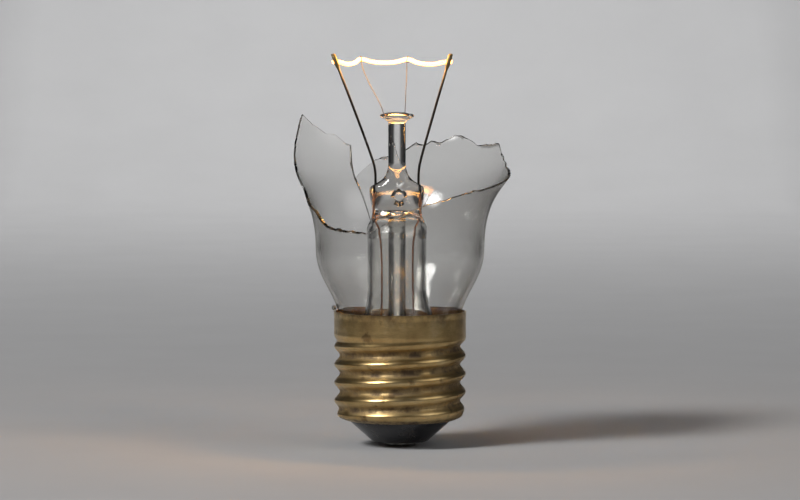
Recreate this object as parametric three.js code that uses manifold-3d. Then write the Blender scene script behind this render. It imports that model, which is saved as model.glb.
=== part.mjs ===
// Dead light bulb: a clear screw-cap filament bulb with its globe smashed away.
// Millimetres, +Z up, seen from -Y. The origin is the middle of the flat end of the contact solder.
import * as THREE from "three";
import { ParametricGeometry } from "three/addons/geometries/ParametricGeometry.js";
import { mergeVertices } from "three/addons/utils/BufferGeometryUtils.js";
import Module from "manifold-3d";

const wasm = await Module();
wasm.setup();

// Screw cap
const CAP_HEIGHT = 27; // solder end to the shell's rim
const THREAD_CREST_R = 13.2;
const THREAD_DEPTH = 1.15;
const THREAD_PITCH = 3.63;
const SHELL_SHEET = 0.3; // thickness of the rolled metal
const SKIRT_HEIGHT = 5.4; // plain band above the thread
const RIM_FLARE = 0.15; // widening of the skirt at its rim
const RIM_FLARE_HEIGHT = 1;
const LIP_HEIGHT = 5.2; // lower edge of the shell
const LIP_TURN = 1.5; // height over which the shell turns in to its lower edge
const LIP_NARROWING = 1.8; // how far the lower edge lies inside the thread's mean radius
const CONTACT_R = 4.8;
const CONTACT_THICKNESS = 0.6;
const SOLDER_HEIGHT = 0.9; // solder below the contact plate
const SOLDER_FLAT_R = 2.2;
const SOLDER_R = 3.1;
const LEAD_HOLE_R = 0.9; // hole through contact and insulator
const INSULATOR_WALL = 2.6; // thickness of the insulator's cone
const RIM_SOLDER_R = 1.3;
const JOIN_GAP = 0.12; // between neighbours that are fused, cemented or soldered

// Glass envelope
const GLASS_WALL = 0.8; // at the neck
const GLOBE_WALL = 0.45; // where the globe begins
const NECK_REACH = 5; // length of neck inside the cap
const NECK_CLEARANCE = 0.35; // between the neck's end and the root of the thread
const NECK_R = 16.85;
const NECK_MIDDLE = 12.5; // widest level of the neck above the rim
const GLOBE_R = 30;
const GLOBE_CENTRE = 47.3; // above the rim
const GLOBE_JOIN = 35.2; // degrees below the equator where the globe runs into the neck

// The break, anticlockwise from +X: degrees, height above the rim
const BREAK_TOP = 38.7; // its highest corner; the rest keeps in proportion
const BREAK_LINE = [
  [1, 26.8], [22, 28.4], [34, 30.6], [39, 32.5], [45, 32.1], [52, 32.2], [58, 33.5], [65, 33.9],
  [72, 32.4], [75.5, 32.7], [79, 32], [82.5, 32.3], [87, 31.1], [91, 30.4], [96, 29.7], [102, 29.2],
  [106, 28], [110, 26.8], [113.7, 25.6], [114.3, 32.3], [117, 32.8], [119.5, 34.2], [124.5, 34.8],
  [130, 36.5], [134.3, 38.7], [138, 36.2], [142.5, 33.7], [148, 31.2], [154.5, 28.8], [163, 26.2],
  [168, 23.8], [176, 22], [188, 21], [199, 20.3], [204, 18.6], [211, 17.4], [217, 16.9], [226, 16.6],
  [247, 16.2], [256.5, 17.6], [270, 19.7], [284, 21.8], [297, 22.9], [310, 24.2], [325, 25], [340, 25.8],
];

// Glass stem, sealed in slightly off the bulb's axis
const STEM_OFFSET = -0.6;
const FLARE_LENGTH = 9;
const TUBE_R = 5.95;
const TUBE_WALL = 0.9;
const TUBE_LENGTH = 11.8;
const SHOULDER_LENGTH = 4.5;
const WAIST_HALF_WIDTH = 4.9;
const PINCH_HALF_WIDTH = 5.5;
const PINCH_HALF_DEPTH = 2.35;
const PINCH_LENGTH = 4.7;
const FILLET_LENGTH = 3.4;
const ROD_R = 1.75;
const ROD_LENGTH = 9.8;
const BUTTON_R = 3.55;
const BUTTON_THICKNESS = 1.7;
const EXHAUST_R = 1.72;
const EXHAUST_BORE_R = 1;
const EXHAUST_TIP = 4; // length of exhaust tube below the flare
const VENT_R = 1.55; // mouth of the exhaust hole in the pinch
const VENT_OFFSET = 0.45; // sideways from the stem's axis

// Wires
const LEAD_R = 0.25;
const OUTER_LEAD_R = 0.2;
const FUSE_R = 0.1;
const SUPPORT_R = 0.1;
const WIRE_GAP = 0.1; // clearance of a wire in its glass
const LEAD_COVER = 0.6; // glass left outside a lead at the waist
const LEAD_BEND = 3.5; // bend of a lead above the pinch
const LEAD_DROP = 1.5; // how far the left outer lead passes below the neck's end
const LEFT_TIP_X = -13.3;
const RIGHT_TIP_X = 10.1;
const LIGHT_CENTRE = 49.8; // filament above the rim
const TIP_RISE = 1.4; // top of a lead above the filament
const FOLD_LENGTH = 2.3; // end of a lead folded back over the filament
const LEFT_HOOK = [0.231, 0.355]; // loop of the left support, along and behind the line between the lead tips
const RIGHT_HOOK = [0.637, 0.222]; // both as shares of that line's length
const LEFT_FOOT = [-0.73, 0.34]; // plan place of the supports on the button, as shares of its radius
const RIGHT_FOOT = [0.45, 0.42];
const FOOT_DEPTH = 0.9; // support sunk in the button
const COIL_R = 0.4;
const COIL_SAG = 0.7;

// Steps of the round shapes
const RINGS = 32; // around the cap and the stem
const THREAD_ROWS = 6; // per turn of the thread
const NECK_ROWS = 9;
const BREAK_STEP = 6; // degrees between meridians of the envelope
const FULL_TURN = 360; // degrees
const WIRE_SIDES = 8;

const rim = CAP_HEIGHT;
const neckEnd = rim - NECK_REACH;
const flareTop = neckEnd + FLARE_LENGTH;
const tubeTop = flareTop + TUBE_LENGTH;
const waist = tubeTop + SHOULDER_LENGTH;
const pinchTop = waist + PINCH_LENGTH;
const rodBase = pinchTop + FILLET_LENGTH;
const buttonTop = rodBase + ROD_LENGTH + BUTTON_THICKNESS;
const filamentZ = rim + LIGHT_CENTRE;
const leadX = WAIST_HALF_WIDTH - LEAD_COVER;

const group = new THREE.Group();
group.name = "dead_light_bulb";

const finish = (color, roughness, metalness, extra = {}) =>
  new THREE.MeshStandardMaterial({ color, roughness, metalness, ...extra });
const glass = finish(0xe4e6e2, 0.05, 0);
const brass = finish(0xb08d4f, 0.35, 1);
const blackGlass = finish(0x17161a, 0.2, 0);
const solder = finish(0x9a9a98, 0.4, 1);
const cement = finish(0x7a5b3c, 0.9, 0);
const nickel = finish(0x5d5850, 0.45, 1);
const copper = finish(0x9a5a38, 0.4, 1);
const molybdenum = finish(0x6f7072, 0.4, 1);
const hotTungsten = finish(0xffe2b0, 0.5, 0, { emissive: 0xffb060 });

const add = (name, geometry, material) => {
  const mesh = new THREE.Mesh(geometry, material);
  mesh.name = name;
  group.add(mesh);
};

const toSolid = (geometry) => {
  const flat = geometry.clone();
  flat.deleteAttribute("normal");
  flat.deleteAttribute("uv");
  const welded = mergeVertices(flat);
  const mesh = new wasm.Mesh({
    numProp: 3,
    vertProperties: new Float32Array(welded.attributes.position.array),
    triVerts: new Uint32Array(welded.index.array),
  });
  return new wasm.Manifold(mesh);
};

const toGeometry = (manifold) => {
  const mesh = manifold.getMesh();
  const geometry = new THREE.BufferGeometry();
  const points = new Float32Array(mesh.numVert * 3);
  for (let i = 0; i < mesh.numVert; i += 1) {
    for (let k = 0; k < 3; k += 1) points[3 * i + k] = mesh.vertProperties[i * mesh.numProp + k];
  }
  geometry.setAttribute("position", new THREE.BufferAttribute(points, 3));
  geometry.setIndex(new THREE.BufferAttribute(new Uint32Array(mesh.triVerts), 1));
  return geometry;
};

// A solid of revolution about Z; the outline is [radius, height] pairs.
const turned = (outline, segments = RINGS) =>
  new THREE.LatheGeometry(outline.map(([r, z]) => new THREE.Vector2(r, z)), segments)
    .rotateX(Math.PI / 2);

const ringOutline = (outline) => [...outline, outline[0]];

const roundWire = (path, radius, steps, sides = WIRE_SIDES) => {
  const corners = Array.from({ length: sides }, (_, i) => {
    const angle = (2 * Math.PI * i) / sides;
    return new THREE.Vector2(radius * Math.cos(angle), radius * Math.sin(angle));
  });
  const options = { steps, extrudePath: path, bevelEnabled: false };
  return new THREE.ExtrudeGeometry(new THREE.Shape(corners), options);
};

const at = (x, y, z) => new THREE.Vector3(x, y, z);
const throughPoints = (points) => new THREE.CatmullRomCurve3(points, false, "centripetal");
const ease = (value, low, high) => THREE.MathUtils.smoothstep(value, low, high);

// A grid of columns round Z and rows along an outline; place gives the point of a column and a row.
const wrapped = (columns, rows, place) =>
  new ParametricGeometry((u, v, target) => {
    target.copy(place(Math.round(u * columns) % columns, Math.round(v * rows)));
  }, columns, rows);

// A wire with one ring at each of its points.
class Route extends THREE.CatmullRomCurve3 {
  getUtoTmapping(u) {
    return u;
  }
}
const wire = (points, radius) =>
  roundWire(new Route(points, false, "centripetal"), radius, points.length - 1);

// Screw shell: a rolled helical thread between a turned-in lip and a plain skirt.
const meanR = THREAD_CREST_R - THREAD_DEPTH / 2;
const rootR = THREAD_CREST_R - THREAD_DEPTH;
const neckEndR = rootR - SHELL_SHEET - NECK_CLEARANCE;
const skirtFoot = rim - SKIRT_HEIGHT;
const skirtBoreR = THREAD_CREST_R - SHELL_SHEET;
const shellRadius = (z, angle) => {
  const rise = THREE.MathUtils.clamp((z - LIP_HEIGHT) / LIP_TURN, 0, 1);
  const lip = LIP_NARROWING * (1 - Math.sqrt(1 - (1 - rise) ** 2));
  const skirt = ease(z, skirtFoot - THREAD_PITCH / 3, skirtFoot + THREAD_PITCH / 6);
  const wave = ease(z, LIP_HEIGHT + LIP_TURN / 2, LIP_HEIGHT + 2 * LIP_TURN) * (1 - skirt);
  const thread = (THREAD_DEPTH / 2) * Math.cos((2 * Math.PI * z) / THREAD_PITCH - angle) * wave;
  return meanR - lip + thread + (skirt * THREAD_DEPTH) / 2 + RIM_FLARE * ease(z, rim - RIM_FLARE_HEIGHT, rim);
};
const shellRows = Math.ceil(((rim - LIP_HEIGHT) / THREAD_PITCH) * THREAD_ROWS);
const shellLevels = Array.from({ length: shellRows + 1 }, (_, i) => {
  return LIP_HEIGHT + ((rim - LIP_HEIGHT) * i) / shellRows;
});
const shellLoop = [
  ...shellLevels.map((z) => [z, 0]),
  ...shellLevels.toReversed().map((z) => [z, SHELL_SHEET]),
];
const screwShell = wrapped(RINGS, shellLoop.length, (column, row) => {
  const angle = (2 * Math.PI * column) / RINGS;
  const [z, inset] = shellLoop[row % shellLoop.length];
  const r = shellRadius(z, angle) - inset;
  return at(r * Math.cos(angle), r * Math.sin(angle), z);
});
add("screw_shell", screwShell, brass);

// Centre contact, its solder and the insulator that holds it in the shell
const contactTop = SOLDER_HEIGHT + CONTACT_THICKNESS;
const contactOutline = [
  [LEAD_HOLE_R, SOLDER_HEIGHT], [CONTACT_R, SOLDER_HEIGHT],
  [CONTACT_R, contactTop], [LEAD_HOLE_R, contactTop],
];
add("centre_contact", turned(ringOutline(contactOutline)), brass);

const solderTop = SOLDER_HEIGHT - JOIN_GAP;
const tipOutline = [
  [0, 0], [SOLDER_FLAT_R, 0], [(SOLDER_FLAT_R + 2 * SOLDER_R) / 3, solderTop / 4],
  [SOLDER_R, solderTop / 2], [SOLDER_R, solderTop], [0, solderTop],
];
add("contact_solder", turned(tipOutline), solder);

const seatZ = contactTop + JOIN_GAP;
const seatR = CONTACT_R + JOIN_GAP;
const mouthR = meanR - LIP_NARROWING - SHELL_SHEET - 2 * JOIN_GAP;
const plugR = rootR - SHELL_SHEET - 2 * JOIN_GAP;
const plugFoot = LIP_HEIGHT + LIP_TURN + JOIN_GAP;
const plugTop = plugFoot + INSULATOR_WALL / 2;
const insulatorOutline = [
  [LEAD_HOLE_R, seatZ], [seatR, seatZ], [seatR, SOLDER_HEIGHT], [seatR + CONTACT_THICKNESS, SOLDER_HEIGHT],
  [mouthR, LIP_HEIGHT - JOIN_GAP], [mouthR, LIP_HEIGHT + JOIN_GAP], [plugR, plugFoot], [plugR, plugTop],
  [plugR - INSULATOR_WALL, plugTop], [seatR, seatZ + INSULATOR_WALL], [LEAD_HOLE_R, seatZ + INSULATOR_WALL],
];
add("cap_insulator", turned(ringOutline(insulatorOutline)), blackGlass);

// Envelope profile: neck, widening and globe, as a curve of [radius, height].
const joinAngle = THREE.MathUtils.degToRad(GLOBE_JOIN);
const globeZ = rim + GLOBE_CENTRE;
const joinR = GLOBE_R * Math.cos(joinAngle);
const joinZ = globeZ - GLOBE_R * Math.sin(joinAngle);
const neckZ = rim + NECK_MIDDLE;
const neckPull = 0.45 * (neckZ - neckEnd);
const globePull = GLOBE_R / 5;
const profile = new THREE.Path();
profile.moveTo(neckEndR, neckEnd);
profile.bezierCurveTo(
  neckEndR + GLASS_WALL, neckEnd + 1.2 * neckPull, NECK_R, neckZ - 0.9 * neckPull, NECK_R, neckZ,
);
profile.bezierCurveTo(
  NECK_R, neckZ + 0.6 * (joinZ - neckZ),
  joinR - globePull * Math.sin(joinAngle), joinZ - globePull * Math.cos(joinAngle), joinR, joinZ,
);
profile.absarc(0, globeZ, GLOBE_R, -joinAngle, Math.PI / 3, false);
const profilePoints = profile.getPoints(RINGS);
const envelopeRadius = (z) => {
  const i = Math.max(1, profilePoints.findIndex((p) => p.y >= z));
  const [low, high] = [profilePoints[i - 1], profilePoints[i]];
  const part = (z - low.y) / (high.y - low.y || 1);
  return THREE.MathUtils.lerp(low.x, high.x, part);
};

// Meridians stand at every corner of the break, with more where corners lie far apart.
const breakScale = BREAK_TOP / Math.max(...BREAK_LINE.map(([, height]) => height));
const meridians = BREAK_LINE.flatMap(([angle, height], i) => {
  const last = i === BREAK_LINE.length - 1;
  const [nextAngle, nextHeight] = last ? [BREAK_LINE[0][0] + FULL_TURN, BREAK_LINE[0][1]] : BREAK_LINE[i + 1];
  const parts = Math.ceil((nextAngle - angle) / BREAK_STEP);
  return Array.from({ length: parts }, (_, k) => ({
    angle: THREE.MathUtils.degToRad(THREE.MathUtils.lerp(angle, nextAngle, k / parts)),
    top: rim + breakScale * THREE.MathUtils.lerp(height, nextHeight, k / parts),
  }));
});
const wallAt = (z) => THREE.MathUtils.lerp(GLASS_WALL, GLOBE_WALL, ease(z, neckZ, joinZ));
const envelopeLoop = 2 * (NECK_ROWS + 1);
const glassEnvelope = wrapped(meridians.length, envelopeLoop, (column, row) => {
  const { angle, top } = meridians[column];
  const step = row % envelopeLoop;
  const inside = step > NECK_ROWS;
  const level = inside ? envelopeLoop - 1 - step : step;
  const z = THREE.MathUtils.lerp(neckEnd, top, level / NECK_ROWS);
  const r = envelopeRadius(z) - (inside ? wallAt(z) : 0);
  return at(r * Math.cos(angle), r * Math.sin(angle), z);
});
add("glass_envelope", glassEnvelope, glass);

// Glass stem: elliptical sections [half width, half depth, height] from the cavity's top, down to the
// flare's rim and up again to the button.
const boreR = TUBE_R - TUBE_WALL;
const flareR = neckEndR - GLASS_WALL - JOIN_GAP;
const flareLevels = [[1, 0], [0.62, 0.14], [0.32, 0.34], [0.1, 0.64], [0, 1]];
const shoulder = (part) => tubeTop + part * SHOULDER_LENGTH;
const cavity = throughPoints([
  at(0, 0, shoulder(0.94)), at(0.55 * boreR, 0.25 * boreR, shoulder(0.84)),
  at(0.85 * boreR, 0.55 * boreR, shoulder(0.56)), at(0.98 * boreR, 0.84 * boreR, shoulder(0.22)),
  at(boreR, boreR, shoulder(-0.1)),
]).getPoints(RINGS / 4);
const flareSection = (inset) => ([spread, rise]) => {
  const r = TUBE_R - inset + spread * (flareR - TUBE_R);
  return at(r, r, neckEnd + rise * FLARE_LENGTH);
};
const flareInside = flareLevels.toReversed().map(flareSection(TUBE_WALL));
const flareOutside = flareLevels.map(flareSection(0));
const pressedStops = [
  at(TUBE_R, TUBE_R, shoulder(-0.35)), at(1.02 * TUBE_R, TUBE_R, shoulder(0)),
  at(TUBE_R, 0.86 * TUBE_R, shoulder(0.26)),
  at(1.06 * WAIST_HALF_WIDTH, 1.6 * PINCH_HALF_DEPTH, shoulder(0.58)),
  at(WAIST_HALF_WIDTH, 1.1 * PINCH_HALF_DEPTH, waist),
  at(0.96 * PINCH_HALF_WIDTH, PINCH_HALF_DEPTH, waist + 0.4 * PINCH_LENGTH),
  at(PINCH_HALF_WIDTH, PINCH_HALF_DEPTH, waist + 0.76 * PINCH_LENGTH),
  at(0.96 * PINCH_HALF_WIDTH, 0.97 * PINCH_HALF_DEPTH, pinchTop),
  at(0.8 * PINCH_HALF_WIDTH, 0.93 * PINCH_HALF_DEPTH, pinchTop + 0.13 * FILLET_LENGTH),
  at((PINCH_HALF_WIDTH + ROD_R) / 2.5, 0.88 * PINCH_HALF_DEPTH, pinchTop + 0.42 * FILLET_LENGTH),
  at(1.3 * ROD_R, 1.12 * ROD_R, pinchTop + 0.68 * FILLET_LENGTH),
  at(1.06 * ROD_R, 1.03 * ROD_R, rodBase), at(ROD_R, ROD_R, rodBase + 0.1 * ROD_LENGTH),
];
const pressed = throughPoints(pressedStops).getPoints(2 * (pressedStops.length - 1));
const buttonFoot = buttonTop - BUTTON_THICKNESS;
const buttonSections = [
  [ROD_R, -0.25], [1.2 * ROD_R, 0], [0.88 * BUTTON_R, 0.22], [BUTTON_R, 0.5], [0.95 * BUTTON_R, 0.75],
  [0.68 * BUTTON_R, 0.94], [0, 1],
].map(([r, part]) => at(r, r, buttonFoot + part * BUTTON_THICKNESS));
const stemLoop = [...cavity, ...flareInside, ...flareOutside, ...pressed, ...buttonSections];
const stemAxis = (z) => STEM_OFFSET * ease(z, neckEnd, flareTop);
const stemBody = toSolid(wrapped(RINGS, stemLoop.length - 1, (column, row) => {
  const angle = (2 * Math.PI * column) / RINGS;
  const section = stemLoop[row];
  return at(
    stemAxis(section.z) + section.x * Math.cos(angle), section.y * Math.sin(angle), section.z,
  );
}));

const exhaustTip = neckEnd - EXHAUST_TIP;
const ventZ = waist + 0.55 * PINCH_LENGTH;
const exhaustWall = EXHAUST_R - EXHAUST_BORE_R;
const exhaustTube = turned([
  [0, exhaustTip], [EXHAUST_R / 2, exhaustTip + exhaustWall / 3], [EXHAUST_R, exhaustTip + 2 * exhaustWall],
  [EXHAUST_R, waist], [0, waist],
]).translate(STEM_OFFSET, 0, 0);
const exhaustBore = turned([
  [0, exhaustTip + 2 * exhaustWall], [EXHAUST_BORE_R, exhaustTip + 3 * exhaustWall],
  [EXHAUST_BORE_R, ventZ], [0, ventZ + EXHAUST_BORE_R / 2],
]).translate(STEM_OFFSET, 0, 0);
const vent = new THREE.LatheGeometry([
  new THREE.Vector2(0, -2 * PINCH_HALF_DEPTH), new THREE.Vector2(1.4 * VENT_R, -2 * PINCH_HALF_DEPTH),
  new THREE.Vector2(VENT_R, -PINCH_HALF_DEPTH), new THREE.Vector2(0.75 * VENT_R, -PINCH_HALF_DEPTH / 2),
  new THREE.Vector2(0.7 * VENT_R, 0), new THREE.Vector2(0, 0),
], RINGS).translate(STEM_OFFSET + VENT_OFFSET, 0, ventZ);

// Leads: an inner lead, a seal wire in the pinch and an outer lead on either side of the stem.
const sealFoot = shoulder(0.75);
const sealTop = waist + 0.7 * PINCH_LENGTH;
const foldR = COIL_R + LEAD_R + WIRE_GAP;
const bendZ = pinchTop + LEAD_BEND;
const tipZ = filamentZ + TIP_RISE;
const leadLine = (side, tipX) => {
  const foot = at(STEM_OFFSET + side * leadX, 0, bendZ);
  const lean = at(tipX, 0, tipZ).sub(foot).normalize();
  const onLead = (z) => foot.clone().addScaledVector(lean, (z - foot.z) / lean.z);
  return { foot, lean, onLead };
};
const innerLead = (side, tipX) => {
  const { foot, lean, onLead } = leadLine(side, tipX);
  const down = at(0, 0, -1);
  const crown = onLead(tipZ - foldR * lean.z);
  const fold = [0, 0.25, 0.5, 0.75, 1].map((part) => crown.clone()
    .addScaledVector(lean, foldR * Math.sin(part * Math.PI))
    .add(at(0, foldR * (1 - Math.cos(part * Math.PI)), 0)));
  return [
    at(foot.x, 0, sealTop + WIRE_GAP), foot.clone().addScaledVector(down, LEAD_BEND),
    foot.clone().addScaledVector(down, 0.6 * LEAD_BEND), foot.clone().addScaledVector(down, 0.25 * LEAD_BEND)
      .addScaledVector(lean, 0.04 * LEAD_BEND),
    foot.clone().addScaledVector(lean, 0.3 * LEAD_BEND), foot.clone().addScaledVector(lean, LEAD_BEND),
    onLead((bendZ + tipZ) / 2), crown.clone().addScaledVector(lean, -FOLD_LENGTH), ...fold,
    fold.at(-1).clone().addScaledVector(lean, -FOLD_LENGTH),
  ];
};
const sides = [["left", -1, LEFT_TIP_X], ["right", 1, RIGHT_TIP_X]];
for (const [name, side, tipX] of sides) {
  const x = STEM_OFFSET + side * leadX;
  add(`${name}_inner_lead`, wire(innerLead(side, tipX), LEAD_R), nickel);
  add(`${name}_seal_wire`, wire([at(x, 0, sealFoot), at(x, 0, sealTop)], LEAD_R), copper);
}
const leadBores = sides.map(([, side]) =>
  new THREE.CylinderGeometry(LEAD_R + WIRE_GAP, LEAD_R + WIRE_GAP, rodBase - tubeTop, WIRE_SIDES)
    .rotateX(Math.PI / 2).translate(STEM_OFFSET + side * leadX, 0, (rodBase + tubeTop) / 2));

// The left outer lead turns up between neck and shell; the right one ends in a fuse and the contact lead.
// Inside the tube both run midway between its wall and the exhaust tube.
const tubeX = (EXHAUST_R + boreR) / 2;
const leftX = STEM_OFFSET - tubeX;
const rightX = STEM_OFFSET + tubeX;
const gapR = (z) => (envelopeRadius(z) + skirtBoreR) / 2;
const outerTop = sealFoot - WIRE_GAP;
const leadUnder = neckEnd - LEAD_DROP;
const downTube = (side) => [
  at(STEM_OFFSET + side * leadX, 0, outerTop), at(STEM_OFFSET + side * leadX, 0, shoulder(0.45)),
  at(STEM_OFFSET + side * tubeX, 0, shoulder(-0.25)), at(STEM_OFFSET + side * tubeX, 0, flareTop),
];
const leftOuterPoints = [
  ...downTube(-1), at(leftX, 0, neckEnd + LEAD_DROP), at(leftX - LEAD_DROP / 2, 0, leadUnder + LEAD_DROP / 3),
  at((leftX - neckEndR) / 2, 0, leadUnder), at(GLASS_WALL - neckEndR, 0, leadUnder + LEAD_DROP / 4),
  at(-(neckEndR + GLASS_WALL), 0, neckEnd - GLASS_WALL / 2),
  at(-gapR(neckEnd + LEAD_DROP), 0, neckEnd + LEAD_DROP), at(-gapR(rim - LEAD_DROP), 0, rim - LEAD_DROP),
  at(-gapR(rim), 0, rim + OUTER_LEAD_R),
];
add("left_outer_lead", wire(leftOuterPoints, OUTER_LEAD_R), copper);
const fuseTop = at(rightX, 0, leadUnder + LEAD_DROP / 3);
const fuseFoot = at(rightX / 4, 0, (neckEnd + plugTop) / 2);
const rightOuterPoints = [...downTube(1), fuseTop];
add("right_outer_lead", wire(rightOuterPoints, OUTER_LEAD_R), copper);
const fuseStep = fuseFoot.clone().sub(fuseTop).setLength(WIRE_GAP + OUTER_LEAD_R);
add("fuse_wire", wire([fuseTop.clone().add(fuseStep), fuseFoot.clone().sub(fuseStep)], FUSE_R), copper);
const contactLead = [
  fuseFoot, at(fuseFoot.x / 2, 0, (fuseFoot.z + plugTop) / 2), at(0, 0, plugTop), at(0, 0, SOLDER_HEIGHT),
];
add("contact_lead", wire(contactLead, OUTER_LEAD_R), copper);

// Cement in the skirt, with a groove for the left lead, and the solder on the rim
const cementLevels = [0.08, 0.4, 0.7, 0.94].map((part) => neckEnd + part * NECK_REACH);
const cementOutline = [
  [skirtBoreR - JOIN_GAP, cementLevels[0]], [skirtBoreR - JOIN_GAP, cementLevels.at(-1)],
  ...cementLevels.toReversed().map((z) => [envelopeRadius(z) + 2 * JOIN_GAP, z]),
];
const groove = toSolid(wire(leftOuterPoints, OUTER_LEAD_R + WIRE_GAP));
add("basing_cement", toGeometry(toSolid(turned(ringOutline(cementOutline))).subtract(groove)), cement);
const rimSolder = new THREE.SphereGeometry(RIM_SOLDER_R, WIRE_SIDES * 2, WIRE_SIDES)
  .scale(0.36, 1, 0.4).translate(-(skirtBoreR + 0.25 * RIM_SOLDER_R), 0, rim + JOIN_GAP + 0.4 * RIM_SOLDER_R);
add("rim_solder", rimSolder, solder);

// Filament: three sagging spans from one folded lead over the two supports to the other.
const endOf = (side, tipX) => leadLine(side, tipX).onLead(filamentZ).add(at(0, foldR, 0));
const leftEnd = endOf(-1, LEFT_TIP_X);
const rightEnd = endOf(1, RIGHT_TIP_X);
const tipSpan = RIGHT_TIP_X - LEFT_TIP_X;
const hookAt = ([along, behind]) => at(LEFT_TIP_X + along * tipSpan, behind * tipSpan, filamentZ + COIL_R);
const leftHook = hookAt(LEFT_HOOK);
const rightHook = hookAt(RIGHT_HOOK);
const across = at(foldR, 0, 0);
const leftTurn = leftEnd.clone().add(across);
const rightTurn = rightEnd.clone().sub(across);
const span = (from, to) => [0.25, 0.5, 0.75].map((part) => from.clone().lerp(to, part)
  .add(at(0, 0, -4 * COIL_SAG * part * (1 - part))));
const filamentPoints = [
  leftEnd.clone().sub(across), leftEnd, leftTurn, ...span(leftTurn, leftHook),
  leftHook, ...span(leftHook, rightHook), rightHook, ...span(rightHook, rightTurn),
  rightTurn, rightEnd, rightEnd.clone().add(across),
];
add("filament", wire(filamentPoints, COIL_R), hotTungsten);

// Supports: from the button up to a loop round the filament.
const loopR = COIL_R + SUPPORT_R + WIRE_GAP;
const supportPoints = ([footX, footY], hook, before, after) => {
  const foot = at(STEM_OFFSET + footX * BUTTON_R, footY * BUTTON_R, buttonTop - FOOT_DEPTH);
  const along = after.clone().sub(before).setZ(0).normalize();
  const inward = at(-along.y, along.x, 0);
  if (inward.dot(foot.clone().sub(hook)) < 0) inward.negate();
  const loop = [0, 45, 90, 135, 180, 225, 270, 300].map((degrees) => {
    const angle = THREE.MathUtils.degToRad(degrees);
    return hook.clone().addScaledVector(inward, loopR * Math.cos(angle))
      .add(at(0, 0, loopR * Math.sin(angle)));
  });
  const neck = loop[0].clone().add(at(0, 0, -3 * loopR));
  const root = foot.clone().lerp(neck, 0.12).setZ(buttonTop + FOOT_DEPTH);
  return [foot, root, root.clone().lerp(neck, 0.55), neck, ...loop];
};
const leftSupport = supportPoints(LEFT_FOOT, leftHook, leftEnd, rightHook);
const rightSupport = supportPoints(RIGHT_FOOT, rightHook, leftHook, rightEnd);
add("left_support", wire(leftSupport, SUPPORT_R), molybdenum);
add("right_support", wire(rightSupport, SUPPORT_R), molybdenum);
const footHoles = [leftSupport, rightSupport].map((points) => wire(points.slice(0, 3), SUPPORT_R + WIRE_GAP));

const stemCuts = [exhaustBore, vent, ...leadBores, ...footHoles].map(toSolid);
const glassStem = stemCuts.reduce((solid, cut) => solid.subtract(cut), stemBody.add(toSolid(exhaustTube)));
add("glass_stem", toGeometry(glassStem), glass);

export default group;
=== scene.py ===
"""Dead light bulb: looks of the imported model, its stage, lights and camera.

Metres, +Z up, seen from -Y.
"""
import math

import bmesh
import bpy
import numpy as np
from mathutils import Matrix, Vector, noise


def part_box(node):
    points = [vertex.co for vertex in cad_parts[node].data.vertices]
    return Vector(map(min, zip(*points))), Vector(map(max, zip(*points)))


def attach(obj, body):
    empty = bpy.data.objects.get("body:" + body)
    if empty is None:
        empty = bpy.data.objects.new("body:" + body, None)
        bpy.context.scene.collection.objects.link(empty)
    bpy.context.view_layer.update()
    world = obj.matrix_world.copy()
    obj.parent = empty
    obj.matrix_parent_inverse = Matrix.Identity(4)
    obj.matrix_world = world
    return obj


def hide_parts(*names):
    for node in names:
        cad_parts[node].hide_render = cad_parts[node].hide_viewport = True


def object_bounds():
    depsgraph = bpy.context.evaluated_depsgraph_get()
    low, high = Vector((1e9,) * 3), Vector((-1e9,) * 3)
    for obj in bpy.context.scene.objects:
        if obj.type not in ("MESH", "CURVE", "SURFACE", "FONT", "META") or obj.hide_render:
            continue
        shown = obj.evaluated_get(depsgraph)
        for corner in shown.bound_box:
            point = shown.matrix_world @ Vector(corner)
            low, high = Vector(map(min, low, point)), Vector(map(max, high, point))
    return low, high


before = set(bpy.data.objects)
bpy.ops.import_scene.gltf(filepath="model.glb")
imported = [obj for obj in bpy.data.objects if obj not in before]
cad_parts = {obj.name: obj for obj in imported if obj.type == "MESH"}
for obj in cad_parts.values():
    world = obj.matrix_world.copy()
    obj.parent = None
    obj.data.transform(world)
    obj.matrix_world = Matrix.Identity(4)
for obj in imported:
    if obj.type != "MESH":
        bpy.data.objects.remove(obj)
cad_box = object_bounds()
scene = bpy.context.scene
MM = 0.001

# Camera, at the photograph's distance and height
CAMERA_PLACE = Vector((-0.0007, -0.944, 0.097))
VIEW_WIDTH = 0.160  # width of the view at the bulb's axis
CLIP_NEAR, CLIP_FAR = 0.05, 20

# Glass envelope; angles and reaches are in degrees about the axis, from +X
COLUMN_STEP, WHOLE_ROWS, BROKEN_ROWS = 0.85, 52, 40
WHOLE_TOP = 42 * MM  # the wall is whole all round below this
PROFILE_STEP, PROFILE_BLUR = 0.1 * MM, 0.9 * MM
CRACK_ANGLE = 113.7  # where the crack leaves the notch in the back wall
CRACK_FOOT = 42.8 * MM
CRACK_GAPE = 0.07  # to either side
# Height in mm, and how far the crack and the shard's edge above it lean off their meridian
CRACK_LEAN = ((42.8, -4.3), (44.8, -2.8), (47.2, -1.1), (49.9, 0.2), (52.6, 2.0), (55.5, 2.1),
              (57.5, 0.6), (59.4, -1.4), (63.0, 0.0))
LEAN_REACH = 8.0
CRACK_TILT, TILT_REACH = 1.1, 2.5  # turn of the crack's inner edge against its outer one
TILT_RISE, TILT_TOP = 6 * MM, 53 * MM  # it grows over the first height and ends at the second
CALM_REACH = 1.5  # the break has no ripple this near the crack
# Slope of the fracture faces in mm: everywhere, more at the back and more at the front left
SLANT, BACK_SLANT, FRONT_SLANT = 0.1, 0.28, 0.3
BACK_FROM, BACK_EASE = 20, 15
FRONT_ANGLE, FRONT_REACH = 230, 16
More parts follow.
